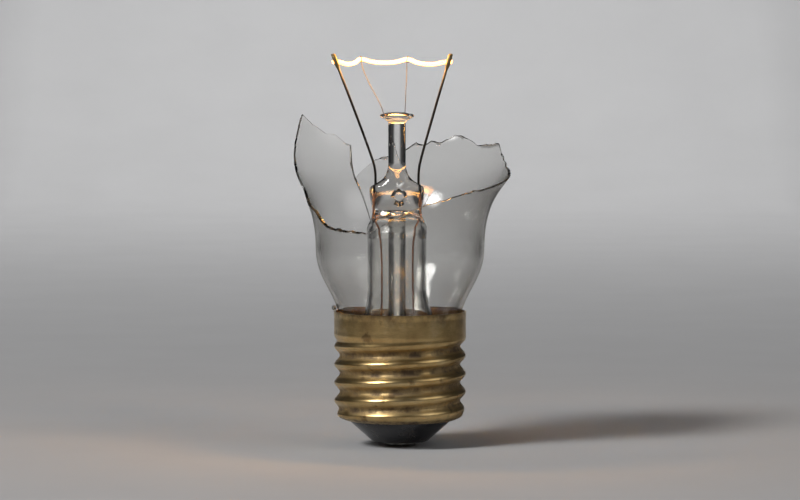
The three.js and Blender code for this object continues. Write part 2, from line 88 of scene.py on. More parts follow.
# Ripples of the break: size, waves and seed
EDGE_RIPPLES = ((0.22, 14, 0), (0.12, 55, 3))
SLANT_RIPPLES = ((0.8, 9, 5), (0.4, 40, 9))
LIP_HEIGHT, LIP_WAVES, LIP_SEED = 0.06 * MM, 30, 7

# Glass stem
STEM_X = -0.6 * MM  # its axis stands a little left of the bulb's
STEM_SIDES = 72
STEM_STEP, STEM_BLUR = 0.1 * MM, 0.22 * MM
INNER_STRIDE, OUTER_STRIDE = 4, 2  # steps from section to section
STEM_END = 0.02 * MM  # inset of the first and last section, and radius of the closing one
TUBE_TOP = 42.8 * MM
TUBE_WALL = 0.9 * MM
BORE_BELOW = 4 * MM  # the tube's bore is taken this far below its top
SHOULDER = 4.5 * MM
# Closed end of the tube's hollow: width and depth by its bore, height by the shoulder
DOME = ((0.02, 0.02, 0.94), (0.3, 0.12, 0.91), (0.55, 0.25, 0.84), (0.73, 0.41, 0.72),
        (0.85, 0.55, 0.56), (0.94, 0.72, 0.38), (0.98, 0.84, 0.22), (1.0, 0.95, 0.05),
        (1.0, 1.0, -0.1))
HOLLOW_FROM = TUBE_TOP - 0.2 * SHOULDER  # below its closed end
EXHAUST_R, EXHAUST_BORE_R, EXHAUST_SIDES = 1.72 * MM, 1.0 * MM, 40
EXHAUST_TOP = TUBE_TOP + 1.1 * SHOULDER
# Ends of the exhaust tube and of its bore: radius by the full one, and height above the tip
# by the wall's thickness, or for the bore's head above the vent in mm
EXHAUST_TIP = ((0, 0), (0.25, 0.05), (0.5, 0.3), (0.8, 1), (1, 2))
BORE_FOOT = ((0, 2), (0.6, 2.3), (1, 3.2))
BORE_HEAD = ((1, -0.6), (0.7, 0.2), (0, 0.45))
VENT_Z = TUBE_TOP + SHOULDER + 2.6 * MM
VENT_X = STEM_X + 0.45 * MM
VENT_SIDES = 48
# Blown mouth of the vent in mm: radius, and place in front of the stem's axis
VENT_MOUTH = ((0, -5.0), (2.9, -5.0), (2.05, -2.7), (1.72, -2.3), (1.4, -1.9), (1.14, -1.4),
              (0.95, -0.8), (0.88, 0), (0, 0))

# Wires
LEAD_R, LEAD_STEP, LEAD_SIDES = 0.25 * MM, 0.12 * MM, 16
WIRE_STEP, WIRE_SIDES = 0.1 * MM, 12
SEAL_R, TAIL_R, FUSE_R = 0.25 * MM, 0.2 * MM, 0.1 * MM
SUPPORT_R, SUPPORT_NODE_R = 0.08 * MM, 0.1 * MM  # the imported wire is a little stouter
END_TAPER = 0.55
CAP_SLACK = 1.3  # corners of a wire's end face lie within this many radii
ANY_SIDE = (0.3, 1.0, 0.2)  # a direction that no wire starts in
# The leads' ends are pressed flat round the filament
CLAMP_SPREAD, CLAMP_LENGTH, CLAMP_EASE = 0.85, 3.2 * MM, 0.9 * MM

# Filament
COIL_R, COIL_WIRE_R, COIL_PITCH = 0.4 * MM, 0.13 * MM, 0.46 * MM
COIL_STEP, COIL_POINTS, COIL_SIDES = 0.04 * MM, 12, 8
COLD_END, WARM_UP = 1.2 * MM, 2.2 * MM
HOOK_COOLING, HOOK_REACH = 0.45, 0.9 * MM

# Cap
CREASE, SUBDIVISIONS = 0.9, 2
QUAD_BEND, QUAD_SHAPE = 30, 70  # degrees, within which two triangles become a quad

# Stage: the paper lies flat to PAPER_FLAT, then bends up to PAPER_TOP
PAPER_FRONT, PAPER_FLAT, PAPER_BEND, PAPER_TOP, PAPER_HALF = -0.62, 0.86, 0.28, 0.6, 0.7
FLOOR_POINTS, BEND_POINTS, BACK_POINTS, PAPER_COLUMNS = 38, 17, 4, 15
PAPER_PALE = ((0.49, 0.49, 0.495), (0.51, 0.51, 0.515))
PAPER_SHADE_SIDES = (0.06, 0.06, 0.062)  # painted shade: dark beyond the view, for the dark outlines of the glass
SIDES_FROM, SIDES_TO = 0.15, 0.33  # distance from the middle
LAMP_AIM = (0, 0, 0.04)
# Name, place, watts and size
SOFT_LAMPS = (("key", (-0.8, -0.65, 0.9), 20.0, 0.7), ("fill", (0.95, -0.5, 0.75), 4.0, 1.7))
WASH_PLACE, WASH_AIM, WASH_WATTS = (0, 0.78, 0.95), (0, 1.0, 0.0), 2.1
WASH_SIZE, WASH_SPREAD = (0.6, 0.3), 100  # metres, degrees
GLOW_PLACE, GLOW_AIM, GLOW_WATTS = (-0.0015, 0.003, 0.0805), (-0.0015, 0.003, 0), 0.03
GLOW_SIZE, GLOW_COLOUR = (28 * MM, 12 * MM), (1.0, 0.5, 0.13)
FEATHER_GAIN = 3.0  # in the middle of a lamp that fades out towards its edge
WORLD_COLOUR = (0.025, 0.025, 0.027, 1)
BOUNCES, GLOSSY_BOUNCES = 32, 12


# Meshes and pieces

def new_object(name, verts, faces, smooth_angle=40):
    """A mesh object from vertices and faces, shaded smooth up to an angle in degrees."""
    mesh = bpy.data.meshes.new(name)
    mesh.from_pydata([tuple(v) for v in verts], [], faces)
    mesh.validate()
    mesh.update()
    obj = bpy.data.objects.new(name, mesh)
    scene.collection.objects.link(obj)
    shade(obj, smooth_angle)
    return obj


def shade(obj, smooth_angle):
    obj.data.shade_smooth()
    obj.data.set_sharp_from_angle(angle=math.radians(smooth_angle))


def dress(obj, material, node):
    """A new piece: rides on the root body, stands for its node and wears its material."""
    obj.data.materials.clear()
    obj.data.materials.append(material)
    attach(obj, "root")
    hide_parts(node)


def wrapped_grid(rings):
    """Faces of closed rings, each joined to the next, for an array of shape (rings, points, 3)."""
    count, around = rings.shape[:2]
    faces = []
    for i in range(count - 1):
        for j in range(around):
            k = (j + 1) % around
            faces.append((i * around + j, i * around + k,
                          (i + 1) * around + k, (i + 1) * around + j))
    return faces


def capped_grid(rings):
    """Faces of closed rings, each joined to the next, with an end face on the first and last."""
    count, around = rings.shape[:2]
    last = (count - 1) * around
    ends = [tuple(range(around))[::-1], tuple(range(last, last + around))]
    return wrapped_grid(rings) + ends


def circle(sides):
    """Angles of the corners round a ring."""
    return np.linspace(0, 2 * math.pi, sides, endpoint=False)


def bell(values, middle, reach):
    """1 at the middle, falling off to both sides."""
    return np.exp(-((values - middle) / reach) ** 2)


def smoothed(values, step, reach):
    """Gaussian blur of evenly spaced values that keeps the slope at both ends."""
    half = int(3 * reach / step)
    kernel = np.exp(-0.5 * (np.arange(-half, half + 1) * step / reach) ** 2)
    padded = np.pad(values, half, mode="reflect", reflect_type="odd")
    return np.convolve(padded, kernel / kernel.sum(), "valid")


# Materials

DIPS, PEAKS = 0.3, 0.7  # usual low and high values of a noise
RANGE_SOCKETS = ("From Min", "From Max", "To Min", "To Max")
GLASS_IOR, LEAD_GLASS_IOR = 1.5, 1.52
LEAD_GLOW_HEIGHTS = (0.071, 0.077)  # heights over which the leads turn from burnt black to a painted golden glow
FILAMENT_GLOW = (10.0, 120.0)
GROOVE_RADII = (0.0122, 0.0128)  # grime of the thread, out to where it ends
CREST_RADII = (0.01305, 0.01318)  # rubbed crests of the thread
RIM_STAIN = (0.0235, 0.0268)  # heights over which the stain under the rim grows


class Nodes:
    """Short names for the shader nodes of one material."""

    def __init__(self, name):
        self.material = bpy.data.materials.new(name)
        self.material.use_nodes = True
        self.tree = self.material.node_tree
        self.shader = self.tree.nodes["Principled BSDF"]
        self.place = self.tree.nodes.new("ShaderNodeTexCoord").outputs["Object"]

    def set(self, **values):
        """Sets or links sockets of the shader, with _ for a space in their names."""
        for key, value in values.items():
            socket = self.shader.inputs[key.replace("_", " ")]
            if hasattr(value, "links"):
                self.link(value, socket)
            else:
                socket.default_value = value

    def link(self, source, target):
        self.tree.links.new(source, target)

    def mapped(self, scale):
        """The point's place in metres, scaled along each axis."""
        node = self.tree.nodes.new("ShaderNodeMapping")
        node.inputs["Scale"].default_value = scale
        self.link(self.place, node.inputs["Vector"])
        return node.outputs["Vector"]

    def noise(self, scale, detail, roughness=0.55, stretch=(1, 1, 1)):
        node = self.tree.nodes.new("ShaderNodeTexNoise")
        node.inputs["Scale"].default_value = scale
        node.inputs["Detail"].default_value = detail
        node.inputs["Roughness"].default_value = roughness
        self.link(self.mapped(stretch), node.inputs["Vector"])
        return node.outputs["Fac"]

    def ramp(self, factor, *stops):
        """Stops are (position, colour)."""
        node = self.tree.nodes.new("ShaderNodeValToRGB")
        elements = node.color_ramp.elements
        while len(elements) < len(stops):
            elements.new(0.5)
        for element, (position, colour) in zip(elements, stops):
            element.position = position
            element.color = (*colour, 1)
        self.link(factor, node.inputs["Fac"])
        return node.outputs["Color"]

    def mottled(self, grain, low, high):
        """From one colour to the other over a noise's usual values."""
        return self.ramp(grain, (DIPS, low), (PEAKS, high))

    def range(self, value, low, high, to_low, to_high):
        """Turns low to high into to_low to to_high, and stays level beyond."""
        node = self.tree.nodes.new("ShaderNodeMapRange")
        for name, number in zip(RANGE_SOCKETS, (low, high, to_low, to_high)):
            node.inputs[name].default_value = number
        self.link(value, node.inputs["Value"])
        return node.outputs["Result"]

    def mix(self, factor, a, b):
        """Colour from a to b; b may be a plain colour."""
        node = self.tree.nodes.new("ShaderNodeMix")
        node.data_type = "RGBA"
        sockets = node.inputs[0], node.inputs[6], node.inputs[7]
        for socket, value in zip(sockets, (factor, a, b)):
            if hasattr(value, "links"):
                self.link(value, socket)
            else:
                socket.default_value = (*value, 1)
        return node.outputs[2]

    def height(self):
        """Height of the point above the origin, in metres."""
        node = self.tree.nodes.new("ShaderNodeSeparateXYZ")
        self.link(self.place, node.inputs["Vector"])
        return node.outputs["Z"]

    def distance(self, axes):
        """Distance of the point from the origin along the given axes, in metres."""
        node = self.tree.nodes.new("ShaderNodeVectorMath")
        node.operation = "LENGTH"
        self.link(self.mapped(axes), node.inputs[0])
        return node.outputs["Value"]

    def radius(self):
        """Distance of the point from the bulb's axis, in metres."""
        return self.distance((1, 1, 0))

    def times(self, a, b):
        node = self.tree.nodes.new("ShaderNodeMath")
        node.operation = "MULTIPLY"
        self.link(a, node.inputs[0])
        self.link(b, node.inputs[1])
        return node.outputs["Value"]

    def attribute(self, name):
        node = self.tree.nodes.new("ShaderNodeAttribute")
        node.attribute_name = name
        return node.outputs["Fac"]

    def bump(self, height, distance, strength):
        node = self.tree.nodes.new("ShaderNodeBump")
        node.inputs["Strength"].default_value = strength
        node.inputs["Distance"].default_value = distance
        self.link(height, node.inputs["Height"])
        self.link(node.outputs["Normal"], self.shader.inputs["Normal"])
        return self


def clear_glass():
    """Clear glass; its coat is a thin film of soot, darker where it is seen at a slant, which is
    also painted shade on the glass's outlines.
    """
    m = Nodes("clear_glass")
    smoke = m.noise(60, 3, stretch=(1, 1, 0.6))
    m.set(Base_Color=m.ramp(smoke, (0.3, (0.985, 0.982, 0.975)), (0.75, (1.0, 1.0, 1.0))))
    # partly painted shade: the soot film's tint darkens the glass most on its outlines
    m.set(Coat_Weight=1.0, Coat_IOR=1.0, Coat_Roughness=0.0, Coat_Tint=(0.958, 0.956, 0.95, 1))
    m.set(Roughness=m.range(m.noise(220, 5), 0.55, 0.85, 0.0, 0.05))
    m.set(Metallic=0.0, IOR=GLASS_IOR, Transmission_Weight=1.0)
    return m.bump(m.noise(90, 2, stretch=(1, 1, 2.5)), 0.12 * MM, 0.35).material


def clean_break():
    """Chipped fracture faces without the film of soot, tinted brown as painted light and shade:
    the filament's amber glow carried in the broken edges, and their darkening.
    """
    m = Nodes("clean_break")
    chips = m.noise(500, 3)
    # painted light and shade: the brown tint stands in for the filament's amber glow in the edges
    # and for their dark lines
    m.set(Base_Color=m.mottled(chips, (0.8, 0.66, 0.48), (0.97, 0.92, 0.84)))
    m.set(Metallic=0.0, IOR=GLASS_IOR, Transmission_Weight=1.0)
    m.set(Roughness=m.range(chips, 0.4, 0.65, 0.45, 0.1))
    return m.bump(m.noise(700, 3, stretch=(1, 1, 2)), 0.1 * MM, 0.5).material


def stem_glass():
    m = Nodes("stem_glass")
    m.set(Base_Color=(0.95, 0.945, 0.92, 1), Metallic=0.0, Roughness=0.0)
    m.set(IOR=LEAD_GLASS_IOR, Transmission_Weight=1.0)
    return m.bump(m.noise(260, 2), 0.1 * MM, 0.3).material


def lead_metal():
    """Nickel wire, burnt black, with painted light towards its top: golden near the glowing
    filament.
    """
    m = Nodes("lead_nickel")
    # painted light: golden towards the top, standing in for the filament's glow on the leads
    heat = m.range(m.height(), *LEAD_GLOW_HEIGHTS, 0.0, 1.0)
    grain = m.noise(900, 4, stretch=(1, 1, 0.2))
    burnt_colour = m.mottled(grain, (0.022, 0.019, 0.016), (0.06, 0.052, 0.045))
    glow_lit_colour = m.mottled(grain, (0.16, 0.125, 0.06), (0.3, 0.24, 0.13))
    m.set(Base_Color=m.mix(heat, burnt_colour, glow_lit_colour), Metallic=1.0)
    m.set(Roughness=m.range(grain, DIPS, PEAKS, 0.4, 0.65))
    return m.bump(grain, 0.04 * MM, 0.4).material


def copper():
    m = Nodes("copper")
    grain = m.noise(700, 4)
    m.set(Base_Color=m.mottled(grain, (0.38, 0.17, 0.09), (0.66, 0.33, 0.2)), Metallic=1.0)
    m.set(Roughness=m.range(grain, DIPS, PEAKS, 0.3, 0.55))
    return m.material


def support_wire():
    m = Nodes("support_wire")
    grain = m.noise(1500, 3)
    m.set(Base_Color=m.mottled(grain, (0.05, 0.044, 0.038), (0.1, 0.09, 0.08)), Metallic=1.0)
    m.set(Roughness=m.range(grain, DIPS, PEAKS, 0.45, 0.65))
    return m.material


def hot_filament():
    m = Nodes("hot_filament")
    heat = m.attribute("heat")
    m.set(Base_Color=(0.5, 0.42, 0.34, 1), Metallic=0.0, Roughness=0.6)
    m.set(Emission_Color=m.ramp(
        heat, (0.0, (1.0, 0.34, 0.07)), (0.6, (1.0, 0.5, 0.14)), (1.0, (1.0, 0.57, 0.19))))
    m.set(Emission_Strength=m.range(heat, 0.0, 1.0, *FILAMENT_GLOW))
    return m.material


def cap_brass():
    """Tarnished brass: dark grooves, a stain under the rim, spots and rubbed crests."""
    m = Nodes("cap_brass")
    blotch = m.noise(130, 5, 0.6)
    fine = m.noise(900, 3, stretch=(1, 1, 6))
    grime = m.noise(260, 5, 0.65, stretch=(1, 1, 0.7))
    streaks = m.range(fine, 0.45, 0.75, 0.0, 0.35)
    groove = m.times(m.range(m.radius(), *GROOVE_RADII, 1.0, 0.0),
                     m.range(grime, 0.35, 0.6, 0.25, 1.0))
    stain = m.times(m.range(m.height(), *RIM_STAIN, 0.0, 1.0),
                    m.range(grime, 0.42, 0.62, 0.0, 0.85))
    spots = m.range(m.noise(330, 3, 0.5), 0.62, 0.7, 0.0, 0.7)
    rubbed = m.times(m.range(m.radius(), *CREST_RADII, 0.0, 1.0),
                     m.range(blotch, 0.5, 0.65, 0.0, 0.6))
    base = m.ramp(
        blotch, (0.3, (0.44, 0.29, 0.12)), (0.5, (0.66, 0.47, 0.21)), (0.75, (0.74, 0.56, 0.29)))
    for amount, colour in (
        (streaks, (0.36, 0.23, 0.1)), (rubbed, (0.82, 0.66, 0.38)), (spots, (0.2, 0.12, 0.055)),
        (stain, (0.17, 0.11, 0.06)), (groove, (0.1, 0.066, 0.035)),
    ):
        base = m.mix(amount, base, colour)
    m.set(Base_Color=base, Metallic=m.range(groove, 0.2, 1.0, 1.0, 0.5))
    m.set(Roughness=m.range(groove, 0.0, 1.0, 0.3, 0.65))
    return m.bump(m.noise(420, 4, stretch=(1, 1, 3)), 0.06 * MM, 0.4).material


def contact_brass():
    m = Nodes("contact_brass")
    blotch = m.noise(240, 5, 0.6)
    m.set(Base_Color=m.ramp(
        blotch, (0.35, (0.2, 0.13, 0.06)), (0.55, (0.6, 0.43, 0.2)), (0.75, (0.7, 0.53, 0.28))))
    m.set(Metallic=1.0, Roughness=m.range(blotch, 0.3, 0.75, 0.5, 0.28))
    return m.bump(m.noise(500, 4), 0.06 * MM, 0.4).material


def black_glass():
    m = Nodes("black_glass")
    dust = m.noise(300, 6, 0.65)
    m.set(Base_Color=m.ramp(dust, (0.45, (0.012, 0.012, 0.015)), (0.8, (0.06, 0.055, 0.05))))
    m.set(Metallic=0.0, IOR=LEAD_GLASS_IOR, Roughness=m.range(dust, 0.4, 0.8, 0.08, 0.4))
    return m.bump(m.noise(140, 2), 0.2 * MM, 0.3).material


def solder_metal():
    m = Nodes("solder")
    grain = m.noise(600, 5, 0.6)
    m.set(Base_Color=m.mottled(grain, (0.3, 0.3, 0.29), (0.58, 0.58, 0.56)), Metallic=1.0)
    m.set(Roughness=m.range(grain, DIPS, PEAKS, 0.55, 0.3))
    return m.bump(m.noise(350, 4), 0.25 * MM, 0.5).material


def cement_paste():
    m = Nodes("cement")
    grit = m.noise(1200, 6, 0.7)
    m.set(Base_Color=m.mottled(grit, (0.2, 0.12, 0.06), (0.42, 0.29, 0.17)))
    m.set(Metallic=0.0, Roughness=0.9)
    return m.bump(grit, 0.2 * MM, 0.8).material


# Glass envelope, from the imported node's own profile and break

def envelope_form():
    """Outer and inner radius as functions of height, break height by angle, and the foot."""
    co = np.array([v.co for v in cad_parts["glass_envelope"].data.vertices])
    angles = np.round(np.degrees(np.arctan2(co[:, 1], co[:, 0])) % 360, 2)
    radii, levels = np.hypot(co[:, 0], co[:, 1]), np.round(co[:, 2], 6)
    outer, inner, tops = {}, {}, []
    for angle in np.unique(angles):
        column = angles == angle
        for level in np.unique(levels[column]):
            here = radii[column & (levels == level)]
            outer[level], inner[level] = here.max(), here.min()
        tops.append((angle, levels[column].max()))
    heights = np.array(sorted(outer))
    even = np.arange(heights[0], heights[-1] + PROFILE_STEP, PROFILE_STEP)

    def profile(side):
        rough = np.interp(even, heights, [side[h] for h in heights])
        line = smoothed(rough, PROFILE_STEP, PROFILE_BLUR)
        return lambda z: np.interp(z, even, line)

    return profile(outer), profile(inner), np.array(tops), heights[0]


def crack_lean(z):
    """How far the crack and the shard's edge above it lean off their meridian, in degrees."""
    heights, lean = np.array(CRACK_LEAN).T
    return np.interp(z, heights * MM, lean)


def ripple(degrees, waves, seed):
    """Smooth noise round the bulb, about -1 to 1."""
    return np.array([noise.noise((math.cos(a) * waves, math.sin(a) * waves, seed))
                     for a in np.radians(degrees)])


def ripples(degrees, rows):
    """Sum of ripples, each given by its size, waves and seed."""
    return sum(size * ripple(degrees, waves, seed) for size, waves, seed in rows)


def make_envelope():
    outer, inner, tops, foot = envelope_form()
    crack = CRACK_ANGLE + CRACK_GAPE * np.array([-1, 0, 1])
    degrees = np.unique(np.round(np.concatenate(
        [np.arange(0, 360, COLUMN_STEP), tops[:, 0], crack]), 3))
    slit = np.abs(degrees - CRACK_ANGLE) < CRACK_GAPE / 2
    clear = 1 - bell(degrees, CRACK_ANGLE, CALM_REACH)
    top = np.interp(degrees, tops[:, 0], tops[:, 1], period=360)
    top = top + clear * ripples(degrees, EDGE_RIPPLES) * MM
    behind = np.clip(np.minimum(degrees - BACK_FROM, CRACK_ANGLE - degrees) / BACK_EASE, 0, 1)
    slant = SLANT + BACK_SLANT * behind + FRONT_SLANT * bell(degrees, FRONT_ANGLE, FRONT_REACH)
    slant = clear * slant * (1 + ripples(degrees, SLANT_RIPPLES)) * MM
    near = bell(degrees, CRACK_ANGLE, LEAN_REACH)[None, :]
    tilt = bell(degrees, CRACK_ANGLE, TILT_REACH)[None, :]
    whole = np.repeat(np.linspace(foot, WHOLE_TOP, WHOLE_ROWS)[:, None], len(degrees), 1)
    upward = np.linspace(0, 1, BROKEN_ROWS)[1:, None]
    walls = []
    for radius, rise, turn in ((outer, 0.0, 0.0), (inner, slant, CRACK_TILT)):
        edge = np.where(slit, CRACK_FOOT, top + rise)
        z = np.concatenate([whole, WHOLE_TOP + (edge - WHOLE_TOP)[None, :] * upward])
        slide = turn * tilt * np.clip((z - WHOLE_TOP) / TILT_RISE, 0, 1) * (z < TILT_TOP)
        a = np.radians(degrees[None, :] + crack_lean(z) * near + slide)
        r = radius(z)
        walls.append(np.stack([r * np.cos(a), r * np.sin(a), z], -1))
    outside, inside = walls
    lip = (outside[-1:] + inside[-1:]) / 2
    lip[..., 2] += LIP_HEIGHT * (1 + ripple(degrees, LIP_WAVES, LIP_SEED))
    loop = np.concatenate([outside, lip, inside[::-1], outside[:1]])
    last = (len(loop) - 1) * len(degrees)
    faces = [tuple(i if i < last else i - last for i in face) for face in wrapped_grid(loop)]
    obj = new_object("broken_envelope", loop[:-1].reshape(-1, 3), faces, smooth_angle=55)
    dress(obj, clear_glass(), "glass_envelope")
    obj.data.materials.append(clean_break())
    rim_row = len(outside) - 1
    for polygon in obj.data.polygons:
        row = polygon.index // len(degrees)
        polygon.material_index = int(row in (rim_row, rim_row + 1))


# Glass stem

def slice_half_sizes(node, levels):
    """Half width, half depth and middle in X of a node's outline, at each height."""
    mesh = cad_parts[node].data
    co = np.array([v.co for v in mesh.vertices])
    edges = np.array([e.vertices for e in mesh.edges])
    a, b = co[edges[:, 0]], co[edges[:, 1]]
    sizes = []
    for level in levels:
        cross = (a[:, 2] - level) * (b[:, 2] - level) <= 0
        span = b[cross, 2] - a[cross, 2]
        part = (level - a[cross, 2]) / np.where(span == 0, 1, span)
        part = np.where(np.abs(span) > 1e-12, part, 0)
        points = a[cross] + (b[cross] - a[cross]) * part[:, None]
        low, high = points[:, :2].min(0), points[:, :2].max(0)
        sizes.append((*(high - low) / 2, (low[0] + high[0]) / 2))
    return np.array(sizes)


def stem_body(top, foot):
    """The stem with its hollow, from the hollow's closed end down and up again outside."""
    levels = np.arange(foot + STEM_END, top - STEM_END, STEM_STEP)
    sizes = slice_half_sizes("glass_stem", levels)
    width, depth, middle = (smoothed(sizes[:, i], STEM_STEP, STEM_BLUR) for i in range(3))
    bore = np.interp(TUBE_TOP - BORE_BELOW, levels, width) - TUBE_WALL
    sections = [(w * bore, d * bore, TUBE_TOP + part * SHOULDER, STEM_X) for w, d, part in DOME]
    for z in levels[levels < HOLLOW_FROM][::-INNER_STRIDE]:
        w, d, m = (np.interp(z, levels, line) for line in (width, depth, middle))
        sections.append((w - TUBE_WALL, d - TUBE_WALL, z, m))
    sections += list(zip(width, depth, levels, middle))[::OUTER_STRIDE]
    sections.append((STEM_END, STEM_END, top, STEM_X))
    rings = np.array([[(m + w * math.cos(a), d * math.sin(a), z) for a in circle(STEM_SIDES)]
                      for w, d, z, m in sections])
    return new_object("pressed_stem", rings.reshape(-1, 3), capped_grid(rings))


def make_stem():
    low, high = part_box("glass_stem")
    tip = low.z
    stem = stem_body(high.z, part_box("glass_envelope")[0].z)
    wall = EXHAUST_R - EXHAUST_BORE_R
    tube = [(r * EXHAUST_R, tip + up * wall) for r, up in EXHAUST_TIP]
    tube += [(EXHAUST_R, TUBE_TOP), (EXHAUST_R, EXHAUST_TOP), (0, EXHAUST_TOP)]
    bore = [(r * EXHAUST_BORE_R, tip + up * wall) for r, up in BORE_FOOT]
    bore += [(r * EXHAUST_BORE_R, VENT_Z + up * MM) for r, up in BORE_HEAD]
    joined(stem, lathe("exhaust", tube, EXHAUST_SIDES, STEM_X), "UNION")
    joined(stem, lathe("exhaust_bore", bore, EXHAUST_SIDES, STEM_X), "DIFFERENCE")
    vent = lathe("vent", [(r * MM, y * MM) for r, y in VENT_MOUTH], VENT_SIDES, 0)
    for vertex in vent.data.vertices:
        x, y, z = vertex.co
        vertex.co = (x + VENT_X, z, VENT_Z - y)
    joined(stem, vent, "DIFFERENCE")
    drop_slivers(stem)
    shade(stem, smooth_angle=38)
    dress(stem, stem_glass(), "glass_stem")


def lathe(name, outline, sides, middle):
    """A closed body turned about an upright axis at X = middle.

    The outline's (radius, height) pairs begin and end on the axis.
    """
    verts, faces, rings = [], [], []
    for r, z in outline:
        if r == 0:
            rings.append([len(verts)])
            verts.append((middle, 0, z))
        else:
            rings.append(list(range(len(verts), len(verts) + sides)))
            verts += [(middle + r * math.cos(a), r * math.sin(a), z) for a in circle(sides)]
    for a, b in zip(rings, rings[1:]):
        for j in range(sides):
            k = (j + 1) % sides
            if len(a) == 1:
                faces.append((a[0], b[k], b[j]))
            elif len(b) == 1:
                faces.append((a[j], a[k], b[0]))
            else:
                faces.append((a[j], a[k], b[k], b[j]))
    obj = new_object(name, verts, faces)
    tidy_normals(obj)
    return obj


def tidy_normals(obj):
    bm = bmesh.new()
    bm.from_mesh(obj.data)
    bmesh.ops.recalc_face_normals(bm, faces=bm.faces)
    bm.to_mesh(obj.data)
    bm.free()


def joined(obj, tool, operation):
    """Unites the tool with the object or cuts it away, and discards it."""
    tidy_normals(obj)
    modifier = obj.modifiers.new(operation.lower(), "BOOLEAN")
    modifier.operation = operation
    modifier.solver = "EXACT"
    modifier.object = tool
    baked(obj)
    bpy.data.objects.remove(tool)


def drop_slivers(obj):
    """Triangulates, and drops triangles that lie back to back on the same three points."""
    bm = bmesh.new()
    bm.from_mesh(obj.data)
    bmesh.ops.triangulate(bm, faces=bm.faces)
    at = {}
    for face in bm.faces:
        corners = frozenset(tuple(round(c, 9) for c in v.co) for v in face.verts)
        at.setdefault(corners, []).append(face)
    doubled = [face for group in at.values() if len(group) > 1 for face in group]
    bmesh.ops.delete(bm, geom=doubled, context="FACES")
    bmesh.ops.remove_doubles(bm, verts=bm.verts, dist=1e-8)
    bm.to_mesh(obj.data)
    bm.free()


def baked(obj):
    """Applies the object's modifiers."""
    evaluated = obj.evaluated_get(bpy.context.evaluated_depsgraph_get())
    mesh = bpy.data.meshes.new_from_object(evaluated)
    obj.modifiers.clear()
    obj.data = mesh


# Wires

def centreline(node, radius):
    """Middles of a packed wire's rings, from one end face to the other."""
    bm = bmesh.new()
    bm.from_mesh(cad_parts[node].data)
    bmesh.ops.remove_doubles(bm, verts=bm.verts, dist=1e-7)
    bmesh.ops.dissolve_limit(bm, angle_limit=0.01, verts=bm.verts, edges=bm.edges)
    bm.verts.index_update()
    caps = [f for f in bm.faces if len(f.verts) >= 6
            and all((v.co - f.calc_center_median()).length < CAP_SLACK * radius for v in f.verts)]
    ring = list(caps[0].verts)
    seen, middles = set(ring), []
    while ring:
        middles.append(sum((v.co for v in ring), Vector()) / len(ring))
        ahead = {e.other_vert(v) for v in ring for e in v.link_edges} - seen
        seen |= ahead
        ring = sorted(ahead, key=lambda v: v.index)  # the same sum in every run
    bm.free()
    return middles


def curve_through(points, step):
    """Points of a smooth curve through the given ones, about a step apart."""
    points = [np.array(p) for p in points]
    ends = [2 * points[0] - points[1], *points, 2 * points[-1] - points[-2]]
    out = []
    for p0, p1, p2, p3 in zip(ends, ends[1:], ends[2:], ends[3:]):
        spans = [np.linalg.norm(b - a) ** 0.5 for a, b in ((p0, p1), (p1, p2), (p2, p3))]
        knots = np.cumsum([0] + spans)
        count = max(2, int(np.linalg.norm(p2 - p1) / step))
        for t in np.linspace(knots[1], knots[2], count, endpoint=False):
            def between(a, b, i, j):
                span = knots[j] - knots[i]
                return (knots[j] - t) / span * a + (t - knots[i]) / span * b
            a1, a2, a3 = between(p0, p1, 0, 1), between(p1, p2, 1, 2), between(p2, p3, 2, 3)
            out.append(between(between(a1, a2, 0, 2), between(a2, a3, 1, 3), 1, 2))
    out.append(points[-1])
    return np.array(out)


def frames_along(path):
    """Two cross axes at every point of a path, turning no more than the path does."""
    ahead = np.gradient(path, axis=0)
    ahead /= np.linalg.norm(ahead, axis=1)[:, None]
    side = np.cross(ahead[0], ANY_SIDE)
    axes = []
    for t in ahead:
        side = side - t * side.dot(t)
        side /= np.linalg.norm(side)
        axes.append((side.copy(), np.cross(t, side)))
    return axes


def swept(name, path, radius, sides, spread=None):
    """A round wire along a path with tapered ends; spread(point) widens it in X."""
    rings = []
    for i, (p, (u, v)) in enumerate(zip(path, frames_along(path))):
        taper = END_TAPER if i in (0, len(path) - 1) else 1.0
        factor = spread(p) if spread else 1.0
        rings.append([p + radius * taper * (u * math.cos(a) + v * math.sin(a)) * (factor, 1, 1)
                      for a in circle(sides)])
    rings = np.array(rings)
    obj = new_object(name, rings.reshape(-1, 3), capped_grid(rings), smooth_angle=60)
    tidy_normals(obj)
    return obj


def make_wires():
    nickel, red, grey = lead_metal(), copper(), support_wire()
    clamp_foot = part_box("left_inner_lead")[1].z - CLAMP_LENGTH

    def clamp(p):
        return 1 + CLAMP_SPREAD * min(max((p[2] - clamp_foot) / CLAMP_EASE, 0), 1)

    def wire(name, node, node_radius, radius, metal):
        line = curve_through(centreline(node, node_radius), WIRE_STEP)
        dress(swept(name, line, radius, WIRE_SIDES), metal, node)

    for side in ("left", "right"):
        line = curve_through(centreline(f"{side}_inner_lead", LEAD_R), LEAD_STEP)
        lead = swept(f"{side}_lead", line, LEAD_R, LEAD_SIDES, clamp)
        dress(lead, nickel, f"{side}_inner_lead")
        wire(f"{side}_seal", f"{side}_seal_wire", SEAL_R, SEAL_R, red)
        wire(f"{side}_tail", f"{side}_outer_lead", TAIL_R, TAIL_R, red)
        wire(f"{side}_hook", f"{side}_support", SUPPORT_NODE_R, SUPPORT_R, grey)
    wire("fuse_link", "fuse_wire", FUSE_R, FUSE_R, red)
    wire("contact_tail", "contact_lead", TAIL_R, TAIL_R, red)


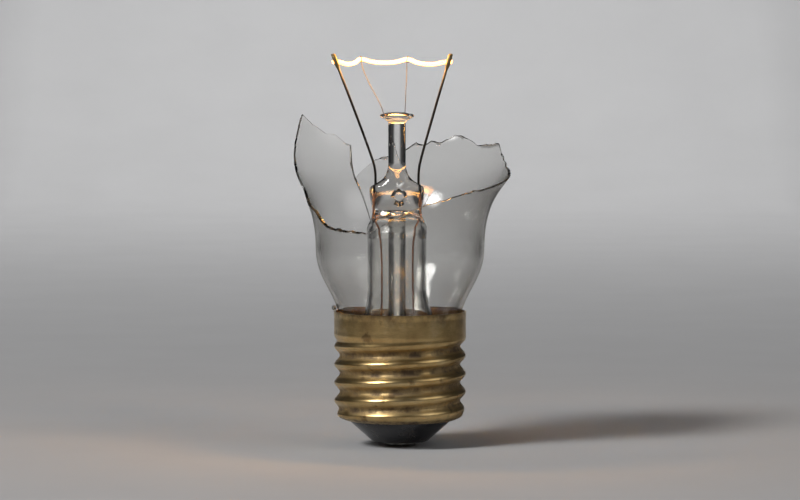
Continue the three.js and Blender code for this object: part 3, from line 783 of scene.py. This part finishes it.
def make_filament():
    """A wound coil, hottest in the middle and cooled by its clamps and hooks."""
    line = curve_through(centreline("filament", COIL_R), COIL_STEP)
    length = np.concatenate([[0], np.cumsum(np.linalg.norm(np.diff(line, axis=0), axis=1))])
    even = np.arange(0, length[-1], COIL_PITCH / COIL_POINTS)
    line = np.stack([np.interp(even, length, line[:, i]) for i in range(3)], -1)
    turns = 2 * math.pi * even / COIL_PITCH
    wound = [p + (COIL_R - COIL_WIRE_R) * (u * math.cos(a) + v * math.sin(a))
             for p, (u, v), a in zip(line, frames_along(line), turns)]
    coil = swept("coiled_filament", np.array(wound), COIL_WIRE_R, COIL_SIDES)
    heat = np.clip((np.minimum(even, even[-1] - even) - COLD_END) / WARM_UP, 0, 1)
    for side in ("left", "right"):
        hook = np.array(centreline(f"{side}_support", SUPPORT_NODE_R)[-3:]).mean(0)
        away = np.linalg.norm(line - hook, axis=1)
        heat = heat * (1 - HOOK_COOLING * bell(away, 0, HOOK_REACH))
    layer = coil.data.attributes.new("heat", "FLOAT", "POINT")
    layer.data.foreach_set("value", np.repeat(heat, COIL_SIDES).astype(np.float32))
    dress(coil, hot_filament(), "filament")


# Cap

def rounded(name, node, crease_degrees):
    """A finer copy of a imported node, with edges kept from an angle in degrees on.

    Its faces become quads and are subdivided, with the corners moved beforehand so that the
    limit surface keeps the node's form.
    """
    bm = bmesh.new()
    bm.from_mesh(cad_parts[node].data)
    bmesh.ops.remove_doubles(bm, verts=bm.verts, dist=1e-6)
    bmesh.ops.join_triangles(bm, faces=bm.faces, angle_face_threshold=math.radians(QUAD_BEND),
                             angle_shape_threshold=math.radians(QUAD_SHAPE))
    layer = bm.edges.layers.float.new("crease_edge")
    for edge in bm.edges:
        if len(edge.link_faces) == 2 and edge.calc_face_angle() > math.radians(crease_degrees):
            edge[layer] = CREASE
    shift = {}
    for vert in bm.verts:
        count = len(vert.link_faces)
        if any(edge[layer] for edge in vert.link_edges) or count < 3:
            continue
        beside = {edge.other_vert(vert) for edge in vert.link_edges}
        near = sum((edge.other_vert(vert).co for edge in vert.link_edges), Vector())
        far = Vector()
        for face in vert.link_faces:
            across = [v for v in face.verts if v is not vert and v not in beside]
            middle = sum((v.co for v in face.verts), Vector()) / len(face.verts)
            far += across[0].co if across else middle
        limit = (vert.co * count ** 2 + 4 * near + far) / (count * (count + 5))
        shift[vert] = vert.co - limit
    for vert, move in shift.items():
        vert.co += move
    mesh = bpy.data.meshes.new(name)
    bm.to_mesh(mesh)
    bm.free()
    obj = bpy.data.objects.new(name, mesh)
    scene.collection.objects.link(obj)
    modifier = obj.modifiers.new("fine", "SUBSURF")
    modifier.levels = modifier.render_levels = SUBDIVISIONS
    baked(obj)
    shade(obj, smooth_angle=40)
    return obj


def make_cap():
    metal = solder_metal()
    for name, node, material, slot, crease_degrees in (
        ("threaded_shell", "screw_shell", cap_brass(), "cap_brass", 50),
        ("contact_plate", "centre_contact", contact_brass(), "contact_brass", 35),
        ("insulator", "cap_insulator", black_glass(), "black_glass", 35),
        ("tip_solder", "contact_solder", metal, "solder", 35),
        ("side_solder", "rim_solder", metal, "solder", 35),
        ("cement_ring", "basing_cement", cement_paste(), "cement", 30),
    ):
        dress(rounded(name, node, crease_degrees), material, node)


# Stage

def make_stage():
    """A sheet of pale paper that curves up behind the bulb, with painted shade on its sides."""
    back = PAPER_FLAT + PAPER_BEND
    line = [(y, 0.0) for y in np.linspace(PAPER_FRONT, PAPER_FLAT, FLOOR_POINTS)]
    line += [(PAPER_FLAT + PAPER_BEND * math.sin(a), PAPER_BEND - PAPER_BEND * math.cos(a))
             for a in np.linspace(0, math.pi / 2, BEND_POINTS)[1:]]
    line += [(back, z) for z in np.linspace(PAPER_BEND, PAPER_TOP, BACK_POINTS + 1)[1:]]
    across = np.linspace(-PAPER_HALF, PAPER_HALF, PAPER_COLUMNS)
    verts = [(x, y, z) for y, z in line for x in across]
    count = len(across)
    faces = [(i * count + j, i * count + j + 1, (i + 1) * count + j + 1, (i + 1) * count + j)
             for i in range(len(line) - 1) for j in range(count - 1)]
    paper = new_object("studio_paper", verts, faces, smooth_angle=80)
    m = Nodes("studio_paper")
    pale = m.mottled(m.noise(30, 3), *PAPER_PALE)
    # painted shade: the paper turns dark beyond the view on both sides
    side_shade = m.range(m.distance((1, 0, 0)), SIDES_FROM, SIDES_TO, 0.0, 1.0)
    m.set(Base_Color=m.mix(side_shade, pale, PAPER_SHADE_SIDES), Roughness=0.9)
    paper.data.materials.append(m.material)


def lamp(name, place, aim, power, shape):
    """An area lamp of the given watts, turned towards its aim."""
    data = bpy.data.lights.new(name, "AREA")
    data.energy = power
    data.shape = shape
    obj = bpy.data.objects.new(name, data)
    obj.location = place
    obj.rotation_euler = (Vector(aim) - Vector(place)).to_track_quat("-Z", "Y").to_euler()
    scene.collection.objects.link(obj)
    return data


def feather(light):
    """Lets a lamp's face fade out towards its edge."""
    light.use_nodes = True
    tree = light.node_tree
    place = tree.nodes.new("ShaderNodeNewGeometry")
    away = tree.nodes.new("ShaderNodeVectorMath")
    away.operation = "DISTANCE"
    away.inputs[1].default_value = (0.5, 0.5, 0.0)
    fade = tree.nodes.new("ShaderNodeMapRange")
    fade.interpolation_type = "SMOOTHERSTEP"
    for name, number in zip(RANGE_SOCKETS, (0.0, 0.5, FEATHER_GAIN, 0.0)):
        fade.inputs[name].default_value = number
    tree.links.new(place.outputs["Parametric"], away.inputs[0])
    tree.links.new(away.outputs["Value"], fade.inputs["Value"])
    tree.links.new(fade.outputs["Result"], tree.nodes["Emission"].inputs["Strength"])


def light_stage():
    """Two soft lamps on the bulb, a wash on the backdrop and the filament's own glow."""
    for name, place, power, size in SOFT_LAMPS:
        soft = lamp(name, place, LAMP_AIM, power, "SQUARE")
        soft.size = size
        feather(soft)
    wash = lamp("wash", WASH_PLACE, WASH_AIM, WASH_WATTS, "RECTANGLE")
    wash.size, wash.size_y = WASH_SIZE
    wash.spread = math.radians(WASH_SPREAD)
    glow = lamp("glow", GLOW_PLACE, GLOW_AIM, GLOW_WATTS, "ELLIPSE")
    glow.size, glow.size_y = GLOW_SIZE
    glow.color = GLOW_COLOUR
    feather(glow)
    world = bpy.data.worlds.new("studio")
    world.use_nodes = True
    background = world.node_tree.nodes["Background"]
    background.inputs["Color"].default_value = WORLD_COLOUR
    background.inputs["Strength"].default_value = 1.0
    scene.world = world


def place_camera():
    low, high = cad_box
    aim = Vector((0, 0, (low[2] + high[2]) / 2))
    data = bpy.data.cameras.new("camera")
    data.lens = data.sensor_width * (aim - CAMERA_PLACE).length / VIEW_WIDTH
    data.clip_start, data.clip_end = CLIP_NEAR, CLIP_FAR
    obj = bpy.data.objects.new("camera", data)
    obj.location = CAMERA_PLACE
    obj.rotation_euler = (aim - CAMERA_PLACE).to_track_quat("-Z", "Y").to_euler()
    scene.collection.objects.link(obj)
    scene.camera = obj


make_envelope()
make_stem()
make_wires()
make_filament()
make_cap()
make_stage()
light_stage()
place_camera()
scene.cycles.max_bounces = BOUNCES
scene.cycles.transmission_bounces = BOUNCES
scene.cycles.glossy_bounces = GLOSSY_BOUNCES
scene.view_settings.view_transform = "Standard"
